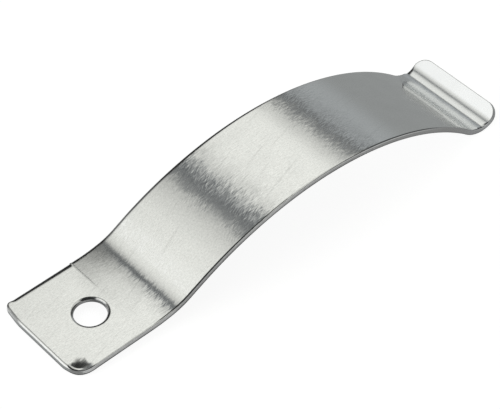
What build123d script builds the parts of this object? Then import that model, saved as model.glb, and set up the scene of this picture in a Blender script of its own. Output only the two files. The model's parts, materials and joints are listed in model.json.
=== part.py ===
"""Picture frame spring clip.

One strip of bright plated spring steel, punched and bent: a flat foot with a screw hole, a long sprung
arch, and a narrow trough with an upturned lip at the free end, which presses the backing into the frame.

Frame: millimetres. The origin is the middle of the screw hole, on the foot's underside. +X runs along
the strip to the lip, +Y across it and +Z up the screw.
"""
from build123d import *

import os

# Strip
strip_width = 12.0
strip_thickness = 0.65

# Side profile, as lengths and radii of the strip's upper face, from the foot's cut end to the lip
foot_length = 9.36
foot_bend_radius = 16.4
foot_bend_angle = 9.9
rise_radius = 6.9
rise_angle = 17.1
ramp_length = 1.81
arch_radius = 35.1
fall_angle = 41.0
fall_length = 0.25
trough_radius = 4.15
trough_angle = 31.0
heel_radius = 1.3
heel_angle = 15.0
heel_length = 0.22
lip_bend_radius = 1.94
lip_bend_angle = 31.0
lip_length = 1.38

# Screw hole, and how far the strip's middle lies to its back, +Y, side
hole_diameter = 3.4
hole_from_end = 6.1
middle_from_hole = 0.45

# Corners of the blank, and the rim of its upper face, which the punch rolled over
foot_front_corner_radius = 2.4
foot_back_corner_radius = 1.3
lip_corner_radius = 1.6
rim_radius = 0.2


def face_line(depth):
    """The side profile's edges, from foot to lip, at a depth below the strip's upper face."""
    height = strip_thickness - depth
    foot = Line((-hole_from_end, height), (foot_length - hole_from_end, height))
    foot_bend = JernArc(foot @ 1, foot % 1, foot_bend_radius + depth, foot_bend_angle)
    rise = JernArc(foot_bend @ 1, foot_bend % 1, rise_radius + depth, rise_angle)
    ramp = Line(rise @ 1, rise @ 1 + (rise % 1) * ramp_length)
    arch = JernArc(ramp @ 1, ramp % 1, arch_radius - depth, -(foot_bend_angle + rise_angle + fall_angle))
    fall = Line(arch @ 1, arch @ 1 + (arch % 1) * fall_length)
    trough = JernArc(fall @ 1, fall % 1, trough_radius + depth, trough_angle)
    heel_bend = JernArc(trough @ 1, trough % 1, heel_radius + depth, heel_angle)
    heel = Line(heel_bend @ 1, heel_bend @ 1 + (heel_bend % 1) * heel_length)
    lip_bend = JernArc(heel @ 1, heel % 1, lip_bend_radius + depth, lip_bend_angle)
    lip = Line(lip_bend @ 1, lip_bend @ 1 + (lip_bend % 1) * lip_length)
    return [foot, foot_bend, rise, ramp, arch, fall, trough, heel_bend, heel, lip_bend, lip]


def bent_strip():
    """The strip with square corners: its side profile, carried across the width."""
    upper = face_line(0)
    lower = face_line(strip_thickness)
    foot_end = Line(upper[0] @ 0, lower[0] @ 0)
    lip_end = Line(upper[-1] @ 1, lower[-1] @ 1)
    profile = make_face(upper + [lip_end] + lower + [foot_end])
    strip = extrude(Plane.XZ * profile, strip_width / 2, both=True)
    return Pos(0, middle_from_hole, 0) * strip


def round_foot(strip):
    """Rounds the two corners at the foot's end, each by its own radius."""
    foot_end = strip.faces().sort_by(Axis.X)[0]
    strip = fillet(foot_end.edges().sort_by(Axis.Y)[0], foot_front_corner_radius)
    foot_end = strip.faces().sort_by(Axis.X)[0]
    return fillet(foot_end.edges().sort_by(Axis.Y)[-1], foot_back_corner_radius)


def round_lip(strip):
    """Rounds the two corners at the lip's end, squarely through the lip."""
    lip = face_line(0)[-1]
    end, along = lip @ 1, lip % 1
    plane = Plane(
        origin=(end.X, middle_from_hole, end.Y), x_dir=(along.X, 0, along.Y), z_dir=(-along.Y, 0, along.X))
    radius = lip_corner_radius
    for side in (-1, 1):
        corner = Pos(0, side * strip_width / 2) * Rectangle(2 * radius, 2 * radius)
        corner -= Pos(-radius, side * (strip_width / 2 - radius)) * Circle(radius)
        corner -= Pos(-radius - strip_width / 2, 0) * Rectangle(strip_width, 4 * strip_width)
        corner -= Rectangle(4 * radius, strip_width - 2 * radius)
        strip -= extrude(plane * corner, 2 * strip_thickness, both=True)
    return strip


def punch_hole(strip):
    """Cuts the screw hole through the foot."""
    return strip - Cylinder(hole_diameter / 2, 4 * strip_thickness)


def roll_rim(strip):
    """Rounds the outer rim of the upper face, and the screw hole's upper rim."""
    upper_line = Wire(face_line(0))

    def is_upper(face):
        corners = [Vertex(corner.X, corner.Z, 0) for corner in face.vertices()]
        return all(upper_line.distance_to(corner) < 0.001 for corner in corners)

    upper_edges = [edge for face in strip.faces().filter_by(is_upper) for edge in face.edges()]
    rim = [edge for edge in upper_edges if sum(edge.is_same(other) for other in upper_edges) == 1]
    return fillet(rim, rim_radius)


clip = bent_strip()
clip = round_foot(clip)
clip = round_lip(clip)
clip = punch_hole(clip)
clip = roll_rim(clip)
clip.label = "spring_clip"

os.makedirs("parts", exist_ok=True)
export_step(clip, "parts/spring_clip.step")
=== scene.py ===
"""Looks of a picture frame spring clip: one strip of bright plated spring steel, punched and bent.

Metres, in the CAD model's frame: the origin is the middle of the screw hole on the foot's underside, +X runs
along the strip to the lip, +Y across it to its back side and +Z up the screw.
"""

import json
import math

import bpy
import numpy as np
from mathutils import Matrix, Vector


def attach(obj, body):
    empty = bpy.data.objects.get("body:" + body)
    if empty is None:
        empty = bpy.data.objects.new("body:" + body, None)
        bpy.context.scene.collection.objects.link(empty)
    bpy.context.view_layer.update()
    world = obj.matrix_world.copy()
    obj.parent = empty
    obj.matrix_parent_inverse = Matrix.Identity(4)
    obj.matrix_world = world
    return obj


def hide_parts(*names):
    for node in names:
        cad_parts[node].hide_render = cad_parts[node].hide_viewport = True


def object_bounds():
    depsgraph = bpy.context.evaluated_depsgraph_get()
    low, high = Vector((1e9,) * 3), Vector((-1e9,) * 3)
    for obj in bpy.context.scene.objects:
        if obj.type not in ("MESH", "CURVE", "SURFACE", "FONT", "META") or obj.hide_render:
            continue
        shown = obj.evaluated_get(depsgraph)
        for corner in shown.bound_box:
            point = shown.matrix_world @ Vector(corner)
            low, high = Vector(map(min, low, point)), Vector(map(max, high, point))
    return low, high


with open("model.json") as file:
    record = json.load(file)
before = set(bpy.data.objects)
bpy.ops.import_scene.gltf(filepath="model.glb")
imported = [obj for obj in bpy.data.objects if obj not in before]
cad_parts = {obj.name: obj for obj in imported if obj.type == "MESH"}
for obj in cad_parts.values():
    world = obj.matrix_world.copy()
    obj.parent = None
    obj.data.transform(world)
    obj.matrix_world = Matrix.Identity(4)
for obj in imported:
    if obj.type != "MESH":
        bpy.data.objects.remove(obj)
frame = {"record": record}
cad_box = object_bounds()

MM = 0.001

# Strip, with the CAD model's sizes, a hair thinner to stay in its box. What has two sides has its front, -Y,
# side first.
strip_thickness = 0.645 * MM
strip_edges = (cad_box[0].y, cad_box[1].y)
foot_corner_radii = (2.4 * MM, 0.8 * MM)
lip_corner_radii = (1.6 * MM, 1.6 * MM)

# Screw hole, and its middle on the flat blank
hole_radius = frame["record"]["mounts"][0]["dims"]["r_mm"] * MM
hole_from_end = -cad_box[0].x
hole_centre = np.array([hole_from_end, 0.0])

# The foot's end runs back towards its back corner
end_taper = 0.30 * MM
taper_from = 3.4 * MM
taper_length = 2.5 * MM

# Bending tool's mark: a fine line across the back half, from which on the back droops until it recovers, up
# the bend
tool_line = 8.5 * MM
tool_line_width = 0.24 * MM
tool_line_depth = 0.024 * MM
droop_depth = 0.025 * MM
droop_reached = 10.5 * MM
droop_held = 13.0 * MM
droop_over = 17.0 * MM
droop_middle = 0.9 * MM

# Front corner of the foot, pressed down by the shear: how far round the corner the dent sets in and fades, in
# degrees from the foot's end, how far inside the corner's edge it starts and ends, and its depth
dent_sets_in = (12.0, 44.0)
dent_fades = (48.0, 94.0)
dent_start = 1.25 * MM
dent_end = 0.36 * MM
dent_depth = 0.23 * MM

# Upper face from the foot's end to the lip: lengths, radii, and turns in degrees, positive where it bends up
foot_length = 9.36 * MM
foot_bend_length = 2.83 * MM
foot_bend_turn = 9.9
rise_radius = 6.9 * MM
rise_turn = 17.1
ramp_length = 1.81 * MM
arch_radius = 35.1 * MM
arch_turn = -68.0
fall_length = 0.25 * MM
trough_radius = 4.15 * MM
trough_turn = 31.0
heel_radius = 1.3 * MM
heel_turn = 15.0
heel_length = 0.22 * MM
lip_bend_radius = 1.94 * MM
lip_bend_turn = 31.0
lip_length = 1.38 * MM


def bend(radius, turn):
    """A bent stretch of the face, from its radius and its turn in degrees."""
    return radius * math.radians(abs(turn)), turn


# Length and turn of each stretch
stretches = [
    (tool_line, 0.0),
    (tool_line_width, 0.0),
    (foot_length - tool_line - tool_line_width, 0.0),
    (foot_bend_length, foot_bend_turn),
    bend(rise_radius, rise_turn),
    (ramp_length, 0.0),
    bend(arch_radius, arch_turn),
    (fall_length, 0.0),
    bend(trough_radius, trough_turn),
    bend(heel_radius, heel_turn),
    (heel_length, 0.0),
    bend(lip_bend_radius, lip_bend_turn),
    (lip_length, 0.0),
]
strip_length = sum(length for length, turn in stretches)

# Roll-over of the upper rim, as (width, depth) at the ends and round the hole, and as (distance along, width,
# depth) down the sides. Along the back the tool's mark nicks it, and on both sides it bulges at the lip.
# The sides' roll-over reaches round the corners almost to the ends: the higher its reach, the further.
foot_end_rim = (0.34 * MM, 0.22 * MM)
lip_end_rim = (0.08 * MM, 0.08 * MM)
hole_rim = (0.33 * MM, 0.24 * MM)
side_rim_reach = 8
front_rims = [
    (0.0 * MM, 0.05 * MM, 0.05 * MM),
    (2.5 * MM, 0.10 * MM, 0.10 * MM),
    (9.0 * MM, 0.15 * MM, 0.16 * MM),
    (14.0 * MM, 0.22 * MM, 0.21 * MM),
    (18.0 * MM, 0.20 * MM, 0.20 * MM),
    (24.0 * MM, 0.16 * MM, 0.17 * MM),
    (56.0 * MM, 0.16 * MM, 0.16 * MM),
    (59.5 * MM, 0.12 * MM, 0.12 * MM),
    (59.7 * MM, 0.30 * MM, 0.20 * MM),
    (60.0 * MM, 0.14 * MM, 0.14 * MM),
    (60.7 * MM, 0.32 * MM, 0.22 * MM),
    (61.3 * MM, 0.08 * MM, 0.08 * MM),
]
back_rims = [
    (0.0 * MM, 0.06 * MM, 0.06 * MM),
    (0.7 * MM, 0.12 * MM, 0.10 * MM),
    (1.3 * MM, 0.44 * MM, 0.24 * MM),
    (tool_line, 0.60 * MM, 0.28 * MM),
    (tool_line + 0.5 * tool_line_width, 0.12 * MM, 0.10 * MM),
    (tool_line + tool_line_width, 0.46 * MM, 0.22 * MM),
    (16.0 * MM, 0.34 * MM, 0.20 * MM),
    (24.0 * MM, 0.40 * MM, 0.20 * MM),
    (34.0 * MM, 0.32 * MM, 0.18 * MM),
    (40.0 * MM, 0.18 * MM, 0.18 * MM),
    (60.1 * MM, 0.16 * MM, 0.16 * MM),
    (60.4 * MM, 0.75 * MM, 0.30 * MM),
    (61.0 * MM, 0.50 * MM, 0.26 * MM),
    (61.8 * MM, 0.06 * MM, 0.06 * MM),
]

# Cut wall below the rim: burnished and leaning out down to the torn zone, which leans back in. The lower edge
# has a small break.
torn_depth = 0.47 * MM
burnish_lean = 0.025 * MM
torn_lean = 0.02 * MM
hole_torn_lean = 0.12 * MM
lower_break = 0.02 * MM

# Mesh spacing: columns at most a face_step and bend_step degrees apart, and a number of rows across, a little
# closer to the front. A share of them at each side follows the changing roll-over.
face_step = 0.2 * MM
bend_step = 2.0
fewest_columns = 4
row_count = 72
row_crowding = 1.2
edge_rows = 0.15

# Steps round each corner, over the rim, down the burnished wall and down the torn zone
corner_steps = 18
rim_steps = 8
wall_steps = 4
torn_steps = 3

# The hole's rings fill a square window in the rows and columns, this far to each side of its middle
hole_patch = 2.40 * MM
hole_rings = 7


def face_line(along):
    """x, z and slope of the upper face at distances along it from the foot's end."""
    x = np.full(len(along), -hole_from_end)
    z = np.full(len(along), strip_thickness)
    slope = np.zeros(len(along))
    done = 0.0
    start = 0.0
    for length, turn in stretches:
        part = np.clip(along - done, 0.0, length)
        if turn:
            rate = math.radians(turn) / length
            x += (np.sin(start + rate * part) - math.sin(start)) / rate
            z += (math.cos(start) - np.cos(start + rate * part)) / rate
            slope += rate * part
            start += math.radians(turn)
        else:
            x += part * math.cos(start)
            z += part * math.sin(start)
        done += length
    return x, z, slope


def soft_step(value, low, high):
    """Smooth change from 0 at low to 1 at high."""
    share = np.clip((value - low) / (high - low), 0.0, 1.0)
    return share * share * (3.0 - 2.0 * share)


def tool_mark(along, across):
    """Depth of the bending tool's line and of the droop behind it."""
    backwards = np.clip((across - droop_middle) / (strip_edges[1] - droop_middle), 0.0, 1.0)
    from_line = abs(along - tool_line - tool_line_width / 2) / (tool_line_width / 2)
    groove = tool_line_depth * np.clip(1.0 - from_line, 0.0, 1.0) * soft_step(backwards, 0.0, 0.4)
    droop = droop_depth * soft_step(along, tool_line, droop_reached) * backwards**2
    droop *= 1.0 - soft_step(along, droop_held, droop_over)
    return groove + droop


def corner_dent(along, across):
    """Depth of the dent at the foot's front corner."""
    radius = foot_corner_radii[0]
    x, y = radius - along, strip_edges[0] + radius - across
    turn = np.degrees(np.arctan2(y, x))
    slope = np.clip((np.hypot(x, y) - radius + dent_start) / (dent_start - dent_end), 0.0, 1.0)
    return dent_depth * slope**2 * soft_step(turn, *dent_sets_in) * (1.0 - soft_step(turn, *dent_fades))


def fold(flat):
    """Takes points of the flat blank, as distance along it, place across it and depth, to the bent strip."""
    along, across, depth = flat.T
    depth = depth + tool_mark(along, across) + corner_dent(along, across)
    taper = end_taper * soft_step(across, taper_from, strip_edges[1])
    x, z, slope = face_line(along + taper * np.clip(1.0 - along / taper_length, 0.0, 1.0))
    return np.stack([x + depth * np.sin(slope), across, z - depth * np.cos(slope)], 1)


def end_stations(inset, radius):
    """Distances from a cut end at which the columns of a rounded corner stand."""
    angle = np.linspace(0.0, math.pi / 2, corner_steps + 1)
    return inset + (radius - inset) * (1.0 - np.cos(angle))


def column_stations(insets):
    """Distances of the mesh's columns along a face that starts inset from the foot's and the lip's ends."""
    foot = end_stations(insets[0], max(foot_corner_radii))
    lip = strip_length - end_stations(insets[1], max(lip_corner_radii))[::-1]
    stations = [foot]
    done = 0.0
    for length, turn in stretches:
        low = max(done, foot[-1])
        high = min(done + length, lip[0])
        if high > low:
            count = max(math.ceil((high - low) / face_step), math.ceil(abs(turn) / bend_step), fewest_columns)
            stations.append(np.linspace(low, high, count + 1)[1:])
        done += length
    stations.append(lip[1:])
    return np.concatenate(stations)


def side_rim(stations, side):
    """Width and depth of the roll-over at each station of one side."""
    along, widths, depths = zip(*(front_rims, back_rims)[side])
    return np.stack([np.interp(stations, along, widths), np.interp(stations, along, depths)], 1)


def side_of(stations, insets, side, side_inset):
    """Where each column ends on one side (0 is -Y, 1 is +Y), and the outward direction of the edge there."""
    sign = (-1.0, 1.0)[side]
    across = strip_edges[side] - sign * side_inset
    outward = np.tile([0.0, sign], (len(stations), 1))
    corners = (
        (foot_corner_radii[side], insets[0], stations, -1.0),
        (lip_corner_radii[side], insets[1], strip_length - stations, 1.0))
    for radius, inset, from_end, end_sign in corners:
        rounded = from_end < radius
        lengthwise = (radius - from_end[rounded]) / (radius - inset)
        sideways = np.sqrt(np.clip(1.0 - lengthwise**2, 0.0, 1.0))
        across[rounded] = strip_edges[side] - sign * (radius - (radius - side_inset[rounded]) * sideways)
        outward[rounded] = np.stack([end_sign * lengthwise, sign * sideways], 1)
    return across, outward


def face_grid(upper):
    """Grid of flat points over the upper or lower face, and the outward direction where its columns end.

    The rows are even but near the sides, where they give way to the changing roll-over.
    """
    lower_inset = torn_lean + lower_break
    end_insets = (lower_inset, lower_inset)
    if upper:
        end_insets = (foot_end_rim[0] + burnish_lean, lip_end_rim[0] + burnish_lean)
    stations = column_stations(end_insets)
    even = np.full(len(stations), lower_inset)
    share = np.linspace(0.0, 1.0, row_count + 1) ** row_crowding
    across = np.zeros((len(stations), row_count + 1))
    outward = []
    for side, weight in ((0, 1.0 - share), (1, share)):
        inset = side_rim(stations, side)[:, 0] + burnish_lean if upper else even
        even_side = side_of(stations, end_insets, side, even)[0]
        edge, out = side_of(stations, end_insets, side, inset)
        near_edge = np.clip((weight - 1.0 + edge_rows) / edge_rows, 0.0, 1.0)
        across += even_side[:, None] * weight + (edge - even_side)[:, None] * near_edge
        outward.append(out)
    grid = np.stack([np.repeat(stations[:, None], row_count + 1, 1), across], 2)
    return grid, *outward


def border(columns, rows):
    """Grid indices round the border, anticlockwise seen from above, as (column, row)."""
    loop = [(i, 0) for i in range(columns)]
    loop += [(columns - 1, j) for j in range(1, rows)]
    loop += [(i, rows - 1) for i in range(columns - 2, -1, -1)]
    loop += [(0, j) for j in range(rows - 2, 0, -1)]
    return loop


def border_outward(loop, columns, rows, low_out, high_out):
    """Outward direction at each point of the border loop."""
    outward = []
    for i, j in loop:
        if j == 0:
            outward.append(low_out[i])
        elif j == rows - 1:
            outward.append(high_out[i])
        else:
            outward.append([-1.0 if i == 0 else 1.0, 0.0])
    return np.array(outward)


def wall_lean(depth, torn=torn_lean):
    """How far inside its outermost line the cut wall lies at a depth."""
    return np.interp(depth, [0.0, torn_depth, strip_thickness], [burnish_lean, 0.0, torn])


def edge_section(roll):
    """Steps down the cut edge: the share of the roll-over's width that is left at each, and its depth.

    Roll is the roll-over's depth. It and the depths have a value for each point of the loop.
    """
    section = []
    for k in range(1, rim_steps + 1):
        angle = math.pi / 2 * k / rim_steps
        section.append((1.0 - math.sin(angle), roll * (1.0 - math.cos(angle))))
    for k in range(1, wall_steps + 1):
        section.append((0.0, roll + (torn_depth - roll) * k / wall_steps))
    for k in range(1, torn_steps + 1):
        depth = torn_depth + (strip_thickness - lower_break - torn_depth) * k / torn_steps
        section.append((0.0, np.full(len(roll), depth)))
    return section


class Skin:
    """Points and faces of the closed mesh while it is put together."""

    def __init__(self):
        self.flat = []
        self.faces = []

    def add(self, points, depth):
        """Adds points of the flat blank at a depth, or at a depth each, and returns their numbers."""
        first = len(self.flat)
        depths = np.broadcast_to(depth, len(points))
        self.flat.extend([(p[0], p[1], d) for p, d in zip(points, depths)])
        return list(range(first, len(self.flat)))

    def quad(self, a, b, c, d, turned=False):
        """Adds a face that looks up, or down if it is turned."""
        self.faces.append((d, c, b, a) if turned else (a, b, c, d))

    def band(self, outer, inner, turned=False):
        """Joins two closed loops of as many points by a band of faces."""
        count = len(outer)
        for k in range(count):
            n = (k + 1) % count
            self.quad(outer[k], outer[n], inner[n], inner[k], turned)


def hole_window():
    """First and last columns and rows of the window in both faces' grids that the hole's rings fill."""
    grid = face_grid(True)[0]
    columns = grid[:, 0, 0] - hole_centre[0]
    rows = grid[np.argmin(abs(columns)), :, 1] - hole_centre[1]
    edges = (-hole_patch, hole_patch)
    return [[int(np.argmin(abs(line - edge))) for edge in edges] for line in (columns, rows)]


def add_grid(skin, grid, depth, turned):
    """Adds a face outside the hole's window, and returns the numbers of its points by column and row."""
    columns, rows = grid.shape[:2]
    (i0, i1), (j0, j1) = hole_window()
    number = np.full((columns, rows), -1, int)
    for i in range(columns):
        for j in range(rows):
            if not (i0 < i < i1 and j0 < j < j1):
                number[i, j] = skin.add([grid[i, j]], depth)[0]
    for i in range(columns - 1):
        for j in range(rows - 1):
            if not (i0 <= i < i1 and j0 <= j < j1):
                skin.quad(number[i, j], number[i + 1, j], number[i + 1, j + 1], number[i, j + 1], turned)
    return number


def add_hole(skin, grid, number, depth, radius, turned):
    """Fills the hole's window with rings, and returns the hole's loop and the directions outward."""
    (i0, i1), (j0, j1) = hole_window()
    window = [(i0 + i, j0 + j) for i, j in border(i1 - i0 + 1, j1 - j0 + 1)]
    corners = np.array([grid[i, j] for i, j in window])
    direction = corners - hole_centre
    direction /= np.linalg.norm(direction, axis=1)[:, None]
    edge = hole_centre + direction * radius
    ring = [number[i, j] for i, j in window]
    for k in range(1, hole_rings + 1):
        inner = skin.add(corners + (edge - corners) * (k / hole_rings), depth)
        skin.band(ring, inner, turned)
        ring = inner
    return ring, direction


def add_face(skin, upper):
    """Adds one face, and returns its outer loop with the directions outward, and the same for the hole."""
    grid, low_out, high_out = face_grid(upper)
    depth = 0.0 if upper else strip_thickness
    hole_inset = hole_rim[0] + burnish_lean if upper else hole_torn_lean + lower_break
    number = add_grid(skin, grid, depth, not upper)
    hole, direction = add_hole(skin, grid, number, depth, hole_radius + hole_inset, not upper)
    columns, rows = grid.shape[:2]
    loop = border(columns, rows)
    outer = [number[i, j] for i, j in loop]
    return outer, border_outward(loop, columns, rows, low_out, high_out), hole, direction


def outer_rim(points, outward):
    """Widths of the roll-over along and across the strip, and its depth, at each point of the outer loop."""
    end = np.where(points[:, :1] < strip_length / 2, foot_end_rim, lip_end_rim)
    side = np.where(outward[:, 1:] < 0.0, side_rim(points[:, 0], 0), side_rim(points[:, 0], 1))
    share = 1.0 - outward[:, 0] ** side_rim_reach
    return np.stack([end[:, 0], side[:, 0]], 1), end[:, 1] * (1.0 - share) + side[:, 1] * share


def add_outer_wall(skin, outer, outward):
    """Adds the rim and wall below the upper face's outer loop, and returns the wall's lowest loop."""
    points = np.array([skin.flat[n][:2] for n in outer])
    widths, roll = outer_rim(points, outward)
    edge = points + outward * (widths + burnish_lean)
    for share, depth in edge_section(roll):
        ring = skin.add(edge - outward * (widths * share + wall_lean(depth)[:, None]), depth)
        skin.band(ring, outer)
        outer = ring
    return outer


def add_bore(skin, hole, direction):
    """Adds the rim and wall below the upper face's hole, and returns the wall's lowest loop."""
    for share, depth in edge_section(np.full(len(hole), hole_rim[1])):
        radius = hole_radius + hole_rim[0] * share + wall_lean(depth, hole_torn_lean)
        ring = skin.add(hole_centre + direction * radius[:, None], depth)
        skin.band(hole, ring)
        hole = ring
    return hole


def clip_mesh():
    """The strip as one closed mesh, with its place on the flat blank kept on each point."""
    skin = Skin()
    outer, outward, hole, direction = add_face(skin, True)
    lower_outer, _, lower_hole, _ = add_face(skin, False)
    wall_foot = add_outer_wall(skin, outer, outward)
    bore_foot = add_bore(skin, hole, direction)
    skin.band(lower_outer, wall_foot)
    skin.band(bore_foot, lower_hole)
    flat = np.array(skin.flat)
    mesh = bpy.data.meshes.new("clip_strip")
    mesh.from_pydata(fold(flat).tolist(), [], skin.faces)
    mesh.validate()
    for polygon in mesh.polygons:
        polygon.use_smooth = True
    place = mesh.attributes.new("blank_place", "FLOAT_VECTOR", "POINT")
    place.data.foreach_set("vector", (flat / MM).astype(np.float32).ravel())
    return mesh


# Materials. Their places are millimetres of the flat blank: along it from the foot's end, across it from the
# hole, and down into it.

# Stretches over which a mark comes up from nothing, the first value, to its full strength
darkening_along = (6.8, 9.5)
darkening_across = (-4.0, 1.5)
rubbed_and_painted_shade_across = (1.0, 6.3)
painted_shadow_reflection_along = (11.5, 13.5)
painted_shadow_reflection_fade = (27.0, 17.0)
painted_shadow_reflection_depth = (0.10, 0.20)
worn_along = (47.0, 38.0)
smooth_end_along = (55.0, 59.0)
lip_along = (60.3, 61.0)

# Where the painted dark reflection in the dented corner begins and ends, in degrees round the corner from the
# foot's end, and how ragged its edge is
painted_dent_reflection_turns = (28.0, 75.0)
painted_dent_reflection_raggedness = 0.30

# Strokes of the rolling marks, scratches, scars and the corner's painted dark reflection: their angle to the
# strip in degrees, and their cells per millimetre along, across and through them
brush_strokes = (4.0, (1.2, 7.0, 7.0))
scratch_strokes = (-20.0, (1.3, 7.5, 7.5))
painted_dent_reflection_strokes = (-15.0, (1.3, 6.0, 6.0))
scar_strokes = (-15.0, (0.16, 2.5, 2.5))

# Cells per millimetre of the marks without a direction
grain_cells = (4.5, 5.5, 5.5)
mottle_cells = (0.35, 0.5, 0.5)
patch_cells = (0.22, 0.3, 0.3)

# The plating's colour over most of the strip and at its smooth end, and its roughness
plating_colour = (0.80, 0.81, 0.80, 1.0)
smooth_end_colour = (0.82, 0.835, 0.84, 1.0)
plating_roughness = 0.13

# What each mark adds to the plating's brightness, to its roughness, and to its slope along the strip
brightening = {
    "brush": 0.08,
    "scratches": 0.08,
    "grain": 0.10,
    "scars": -0.08,
    "mottle": 0.035,
    "darkening": -0.14,
    # painted dark reflection behind the tool's line, in place of a deeper droop
    "rubbed_and_painted_shade": -0.30,
    "torn": -0.46,
    # painted reflection of the clip's own shadow, along the cut wall round the rise
    "painted_shadow_reflection": -0.30,
    # painted dark reflection in the dent at the foot's front corner
    "painted_dent_reflection": -0.62,
    # painted shade on the screw hole's wall, for the dark inside of the hole that it mirrors
    "bore": -0.45,
}
roughening = {"smooth_end": 0.07, "rubbed_and_painted_shade": 0.12, "painted_dent_reflection": 0.12, "lip": 0.05, "scratches": 0.07}
leaning = {"brush": 0.028, "scratches": 0.024, "mottle": 0.012}


def nodes_of(owner):
    """Empties a material's or world's node tree, and returns a function that adds a node with its inputs."""
    owner.use_nodes = True
    tree = owner.node_tree
    tree.nodes.clear()

    def add(kind, inputs=(), **settings):
        node = tree.nodes.new(kind)
        for name, value in settings.items():
            setattr(node, name, value)
        for key, value in dict(inputs).items():
            if isinstance(value, bpy.types.NodeSocket):
                tree.links.new(value, node.inputs[key])
            else:
                node.inputs[key].default_value = value
        return node

    return add


def maths(add, operation, *values):
    """One operation on values."""
    return add("ShaderNodeMath", dict(enumerate(values)), operation=operation).outputs[0]


def vector_maths(add, operation, *values):
    """One operation on vectors."""
    return add("ShaderNodeVectorMath", dict(enumerate(values)), operation=operation).outputs[0]


def scaled(add, vector, factor):
    """A vector or colour times a factor."""
    return add("ShaderNodeVectorMath", {0: vector, "Scale": factor}, operation="SCALE").outputs[0]


def parts_of(add, vector):
    """The x, y and z of a vector."""
    return add("ShaderNodeSeparateXYZ", {0: vector}).outputs


def product(add, first, *others):
    """All the values multiplied."""
    for other in others:
        first = maths(add, "MULTIPLY", first, other)
    return first


def ramp_up(add, value, low, high):
    """Smooth change from 0 at low to 1 at high. Low may be above high."""
    limits = {"Value": value, "From Min": low, "From Max": high}
    return add("ShaderNodeMapRange", limits, interpolation_type="SMOOTHSTEP").outputs[0]


def mixed(add, first, second, share):
    """A colour between two, from the first at a share of 0 to the second at 1."""
    return add("ShaderNodeMix", {0: share, 6: first, 7: second}, data_type="RGBA").outputs[2]


def layer(add, below, above, value, low, high):
    """One colour below a value and another above it, with a smooth change from low to high."""
    return mixed(add, below, above, ramp_up(add, value, low, high))


def distance(add, x, y):
    """How far the point x, y lies from the origin."""
    return maths(add, "SQRT", maths(add, "MULTIPLY_ADD", x, x, product(add, y, y)))


def noise(add, place, cells, detail):
    """Noise from about -1 to 1, with its cells per millimetre along, across and down into the blank."""
    place = vector_maths(add, "MULTIPLY", place, cells)
    value = add("ShaderNodeTexNoise", {"Vector": place, "Scale": 1.0, "Detail": detail}).outputs["Fac"]
    limits = {"Value": value, "From Min": 0.2, "From Max": 0.8, "To Min": -1.0}
    return add("ShaderNodeMapRange", limits).outputs[0]


def hatch(add, place, turn, cells, detail):
    """Noise in short strokes that lie at an angle in degrees to the strip, with its cells per millimetre."""
    turned = {"Vector": place, "Angle": math.radians(turn)}
    turned = add("ShaderNodeVectorRotate", turned, rotation_type="Z_AXIS").outputs[0]
    return noise(add, turned, cells, detail)


def bend_fade(add, along):
    """Fade to nothing of the first bend's wear, just past the bend."""
    bend_end = (foot_length + foot_bend_length) / MM
    return ramp_up(add, along, bend_end + 1.2, bend_end - 0.4)


def rubbed_and_painted_shade_patch(add, along, across):
    """Where the bending tool rubbed the plating rougher, behind its line towards the back of the first bend,
    with a painted dark reflection there in place of a deeper droop.
    """
    start, end = tool_line / MM, (foot_length + foot_bend_length) / MM
    growth = maths(add, "MULTIPLY_ADD", ramp_up(add, along, start, end), 0.4, 0.6)
    return product(
        add, ramp_up(add, along, start, start + 0.2), bend_fade(add, along), growth,
        ramp_up(add, across, *rubbed_and_painted_shade_across))


def bend_darkening(add, along, across):
    """Darkening over most of the first bend."""
    return product(
        add, ramp_up(add, along, *darkening_along), bend_fade(add, along), ramp_up(add, across, *darkening_across))


def corner_painted_dent_reflection(add, place, along, across):
    """Painted dark reflection in the dent at the foot's front corner, with a ragged edge in strokes."""
    radius = foot_corner_radii[0] / MM
    x = maths(add, "SUBTRACT", radius, along)
    y = maths(add, "SUBTRACT", strip_edges[0] / MM + radius, across)
    inside = maths(add, "SUBTRACT", radius, distance(add, x, y))
    ragged = maths(add, "MULTIPLY_ADD", hatch(add, place, *painted_dent_reflection_strokes, 1.0), painted_dent_reflection_raggedness, inside)
    start, end = dent_start / MM, dent_end / MM
    turn = maths(add, "ARCTAN2", y, x)
    first, last = (math.radians(degrees) for degrees in painted_dent_reflection_turns)
    return product(
        add, ramp_up(add, ragged, start + 0.35, start - 0.3), ramp_up(add, inside, end - 0.06, end + 0.02),
        ramp_up(add, turn, first - 0.2, first + 0.2), ramp_up(add, turn, last + 0.1, last - 0.1))


def painted_wall_shadow_reflection(add, along, depth):
    """Painted darker reflection of the clip's own shadow on the floor, along the cut wall round the rise to
    the arch.
    """
    return product(
        add, ramp_up(add, along, *painted_shadow_reflection_along), ramp_up(add, along, *painted_shadow_reflection_fade),
        ramp_up(add, depth, *painted_shadow_reflection_depth))


def torn_zone(add, depth):
    """Rough lower part of the cut walls, where the steel tore."""
    return ramp_up(add, depth, torn_depth / MM - 0.03, torn_depth / MM + 0.03)


def bore_wall_with_painted_shade(add, along, across):
    """The screw hole's wall, where the punch tore the steel, darkened with painted shade for the dark inside
    of the hole that it mirrors.
    """
    radius = distance(add, maths(add, "SUBTRACT", along, hole_from_end / MM), across)
    return ramp_up(add, radius, (hole_radius + hole_torn_lean) / MM + 0.08, hole_radius / MM + 0.02)


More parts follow.
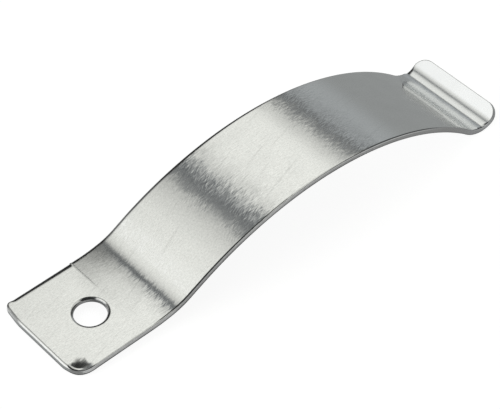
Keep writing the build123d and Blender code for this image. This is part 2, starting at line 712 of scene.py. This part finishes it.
def surface_marks(add, place):
    """The marks on the plating, among them painted shade and reflections, by name, each as its strength at a
    place on the blank.
    """
    along, across, depth = parts_of(add, place)
    marks = {
        "darkening": bend_darkening(add, along, across),
        "rubbed_and_painted_shade": rubbed_and_painted_shade_patch(add, along, across),
        "painted_dent_reflection": corner_painted_dent_reflection(add, place, along, across),
        "painted_shadow_reflection": painted_wall_shadow_reflection(add, along, depth),
        "bore": bore_wall_with_painted_shade(add, along, across),
        "mottle": noise(add, place, mottle_cells, 2.0),
        "smooth_end": ramp_up(add, along, *smooth_end_along),
        "lip": ramp_up(add, along, *lip_along),
    }
    # The rest grow faint towards the smooth end, and the strokes also come and go in patches
    worn = maths(add, "MULTIPLY_ADD", ramp_up(add, along, *worn_along), 0.85, 0.15)
    patches = ramp_up(add, noise(add, place, patch_cells, 1.0), -0.7, 0.7)
    patchy = product(add, maths(add, "MULTIPLY_ADD", patches, 0.9, 0.5), worn)
    marks["brush"] = product(add, hatch(add, place, *brush_strokes, 2.0), patchy)
    marks["scratches"] = product(add, hatch(add, place, *scratch_strokes, 2.0), patchy)
    marks["grain"] = product(add, noise(add, place, grain_cells, 1.0), worn)
    marks["scars"] = product(add, ramp_up(add, hatch(add, place, *scar_strokes, 0.0), 0.60, 0.95), worn)
    marks["torn"] = product(add, torn_zone(add, depth), worn)
    return marks


def weighted(add, start, marks, amounts):
    """A starting value with the marks added to it, each by its own amount."""
    for name, amount in amounts.items():
        start = maths(add, "MULTIPLY_ADD", marks[name], amount, start)
    return start


def leaned_normal(add, marks):
    """The face's normal, leaned along the strip by the marks."""
    normal = add("ShaderNodeNewGeometry").outputs["Normal"]
    along = vector_maths(add, "CROSS_PRODUCT", (0.0, 1.0, 0.0), normal)
    lean = scaled(add, along, weighted(add, 0.0, marks, leaning))
    return vector_maths(add, "NORMALIZE", vector_maths(add, "ADD", normal, lean))


def plated_steel():
    """Bright plated spring steel, with fine rolling marks along it, the wear of its making, and painted shade
    and dark reflections in the corner's dent, behind the tool's line, along the wall round the rise and in
    the screw hole.
    """
    material = bpy.data.materials.new("plated_steel")
    add = nodes_of(material)
    place = add("ShaderNodeAttribute", attribute_name="blank_place").outputs["Vector"]
    marks = surface_marks(add, place)
    colour = mixed(add, plating_colour, smooth_end_colour, marks["smooth_end"])
    shader = add("ShaderNodeBsdfPrincipled", {
        "Base Color": scaled(add, colour, weighted(add, 1.0, marks, brightening)),
        "Metallic": 1.0,
        "Roughness": weighted(add, plating_roughness, marks, roughening),
        "Normal": leaned_normal(add, marks),
    })
    add("ShaderNodeOutputMaterial", {"Surface": shader.outputs[0]})
    return material


# Studio


def gray(level, tint=(1.0, 1.0, 1.0)):
    """A gray of a brightness, or a slight tint of it."""
    return (*(level * part for part in tint), 1.0)


warm = (1.0, 1.0, 0.955)
bright = (1.0, 1.0, 0.98)
cool = (0.96, 1.0, 1.02)
floor_glow = gray(0.33, (0.97, 1.0, 1.0))

# Light above the horizon by the angle in degrees round Y from +X. Behind the clip (+Y) are the softboxes over
# its two ends, with dark gaps before, between and after them.
back_stops = [
    (-180, gray(1.1)),
    (-165, gray(1.0)),
    (-150, floor_glow),
    (10, floor_glow),
    (22, gray(0.42, cool)),
    (30, gray(0.36, cool)),
    (37, gray(0.16, cool)),
    (44, gray(0.70, warm)),
    (52, gray(0.99, warm)),
    (72, gray(0.97, warm)),
    (79, gray(0.80, warm)),
    (85, gray(0.27, cool)),
    (88, gray(0.15, cool)),
    (91, gray(0.21, cool)),
    (96, gray(0.66, warm)),
    (101, gray(0.80, warm)),
    (108, gray(0.94, warm)),
    (115, gray(0.95, warm)),
    (120, gray(1.22, bright)),
    (126, gray(1.34, bright)),
    (136, gray(1.1)),
    (146, gray(1.0)),
    (179, gray(1.0)),
]
# In front of the clip (-Y) only the right softbox reaches over
front_stops = [
    (-180, floor_glow),
    (-2, floor_glow),
    (8, gray(0.07, cool)),
    (38, gray(0.07, cool)),
    (48, gray(0.70, warm)),
    (67, gray(0.70, warm)),
    (77, gray(0.04, cool)),
    (135, gray(0.04, cool)),
    (180, gray(0.2)),
]
# Far behind the clip, past the softboxes
far_stops = [
    (-180, gray(0.45)),
    (-90, gray(0.03)),
    (86, gray(0.03)),
    (96, gray(0.12)),
    (114, gray(0.12)),
    (130, gray(0.45)),
    (180, gray(0.45)),
]

# Where the front gives way to the back and the back to the far end, as the direction's share of +Y, and the
# angles over which the left softbox reaches further to the front, by up to this share
back_from = (0.20, 0.40)
far_from = (0.55, 0.65)
left_angles = (90.0, 145.0)
left_reach = 0.6

# Light below the horizon: in front, then after each change by the direction's share of +Y, and straight down.
# By its share of +Z, straight down ends and the horizon lies over the last two ranges.
front_floor = gray(0.50)
floor_steps = [
    (gray(0.25), -0.62, -0.54),
    (floor_glow, -0.15, 0.15),
    (gray(0.85), 0.60, 0.75),
]
straight_down = gray(0.12)
down_to = (-0.90, -0.78)
horizon = (-0.05, 0.05)


def sky_ramp(add, angle, stops):
    """Light by an angle, from (angle in degrees, colour) stops."""
    share = add("ShaderNodeMapRange", {"Value": angle, "From Min": -math.pi, "From Max": math.pi})
    ramp = add("ShaderNodeValToRGB", {"Fac": share.outputs[0]})
    ramp.color_ramp.interpolation = "EASE"
    elements = ramp.color_ramp.elements
    while len(elements) < len(stops):
        elements.new(0.5)
    for element, (degrees, colour) in zip(elements, stops):
        element.position = (degrees + 180.0) / 360.0
        element.color = colour
    return ramp.outputs[0]


def softboxes(add, angle, y):
    """The light above the horizon."""
    low, high = (math.radians(degrees) for degrees in left_angles)
    limits = {"Value": angle, "From Min": low, "From Max": high, "To Max": left_reach}
    reach = add("ShaderNodeMapRange", limits).outputs[0]
    front, back, far = (sky_ramp(add, angle, stops) for stops in (front_stops, back_stops, far_stops))
    sky = layer(add, front, back, maths(add, "ADD", reach, y), *back_from)
    return layer(add, sky, far, y, *far_from)


def floor_light(add, y, z):
    """The light below the horizon."""
    low = front_floor
    for colour, start, end in floor_steps:
        low = layer(add, low, colour, y, start, end)
    return layer(add, straight_down, low, z, *down_to)


def studio_world():
    """Soft studio that the metal reflects. The camera itself sees a plain pale backdrop."""
    world = bpy.data.worlds.new("studio")
    bpy.context.scene.world = world
    add = nodes_of(world)
    x, y, z = parts_of(add, add("ShaderNodeTexCoord").outputs["Generated"])
    angle = maths(add, "ARCTAN2", z, x)
    light = layer(add, floor_light(add, y, z), softboxes(add, angle, y), z, *horizon)
    studio = add("ShaderNodeBackground", {"Color": light})
    backdrop = add("ShaderNodeBackground", {"Color": gray(1.0)})
    seen = add("ShaderNodeLightPath").outputs["Is Camera Ray"]
    both = add("ShaderNodeMixShader", {0: seen, 1: studio.outputs[0], 2: backdrop.outputs[0]})
    add("ShaderNodeOutputWorld", {"Surface": both.outputs[0]})


def floor_paint():
    """Pale floor that shows a soft shadow."""
    material = bpy.data.materials.new("floor_paint")
    add = nodes_of(material)
    paint = add("ShaderNodeBsdfDiffuse", {"Color": gray(0.35)})
    glow = add("ShaderNodeEmission", {"Color": gray(0.9)})
    shader = add("ShaderNodeAddShader", {0: paint.outputs[0], 1: glow.outputs[0]})
    add("ShaderNodeOutputMaterial", {"Surface": shader.outputs[0]})
    return material


def floor_under(clip):
    """Pale floor on which the foot's end and the trough rest. The metal doesn't reflect it."""
    points = np.array([clip.matrix_world @ vertex.co for vertex in clip.data.vertices])
    foot_edge = Vector((-hole_from_end, 0.0, points[points[:, 0] < 0.0, 2].min()))
    tilt = float(np.arctan2(points[:, 2] - foot_edge.z, points[:, 0] - foot_edge.x).min())
    reach = 3.0
    corners = [(-reach, -reach, 0.0), (reach, -reach, 0.0), (reach, reach, 0.0), (-reach, reach, 0.0)]
    mesh = bpy.data.meshes.new("floor")
    mesh.from_pydata(corners, [], [(0, 1, 2, 3)])
    mesh.materials.append(floor_paint())
    floor = bpy.data.objects.new("floor", mesh)
    bpy.context.scene.collection.objects.link(floor)
    floor.matrix_world = Matrix.Translation(foot_edge) @ Matrix.Rotation(-tilt, 4, "Y")
    floor.visible_glossy = False


# Camera: its direction from the target and its roll in degrees, its target, and its distance from it
camera_azimuth = -41.83
camera_elevation = 47.09
camera_roll = -0.24
camera_target = (21.72 * MM, 0.57 * MM, 0.04 * MM)
camera_distance = 197.6 * MM
sensor_width = 36.0
focal_length = 136.6


def camera():
    """Camera at the photograph's viewing angle."""
    azimuth, elevation, roll = (math.radians(a) for a in (camera_azimuth, camera_elevation, camera_roll))
    right = Vector((math.cos(azimuth), math.sin(azimuth), 0.0))
    level = Vector((math.sin(azimuth), -math.cos(azimuth), 0.0))
    back = level * math.cos(elevation) + Vector((0.0, 0.0, math.sin(elevation)))
    data = bpy.data.cameras.new("camera")
    data.sensor_width = sensor_width
    data.lens = focal_length
    data.clip_start = 0.01
    data.clip_end = 20.0
    view = bpy.data.objects.new("camera", data)
    turn = Matrix((right, back.cross(right), back)).transposed() @ Matrix.Rotation(roll, 3, "Z")
    view.matrix_world = Matrix.Translation(Vector(camera_target) + back * camera_distance) @ turn.to_4x4()
    bpy.context.scene.collection.objects.link(view)
    bpy.context.scene.camera = view


clip = bpy.data.objects.new("clip_strip", clip_mesh())
bpy.context.scene.collection.objects.link(clip)
clip.data.materials.append(plated_steel())
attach(clip, "root")
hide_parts("spring_clip")

studio_world()
floor_under(clip)
camera()
bpy.context.scene.view_settings.view_transform = "Standard"
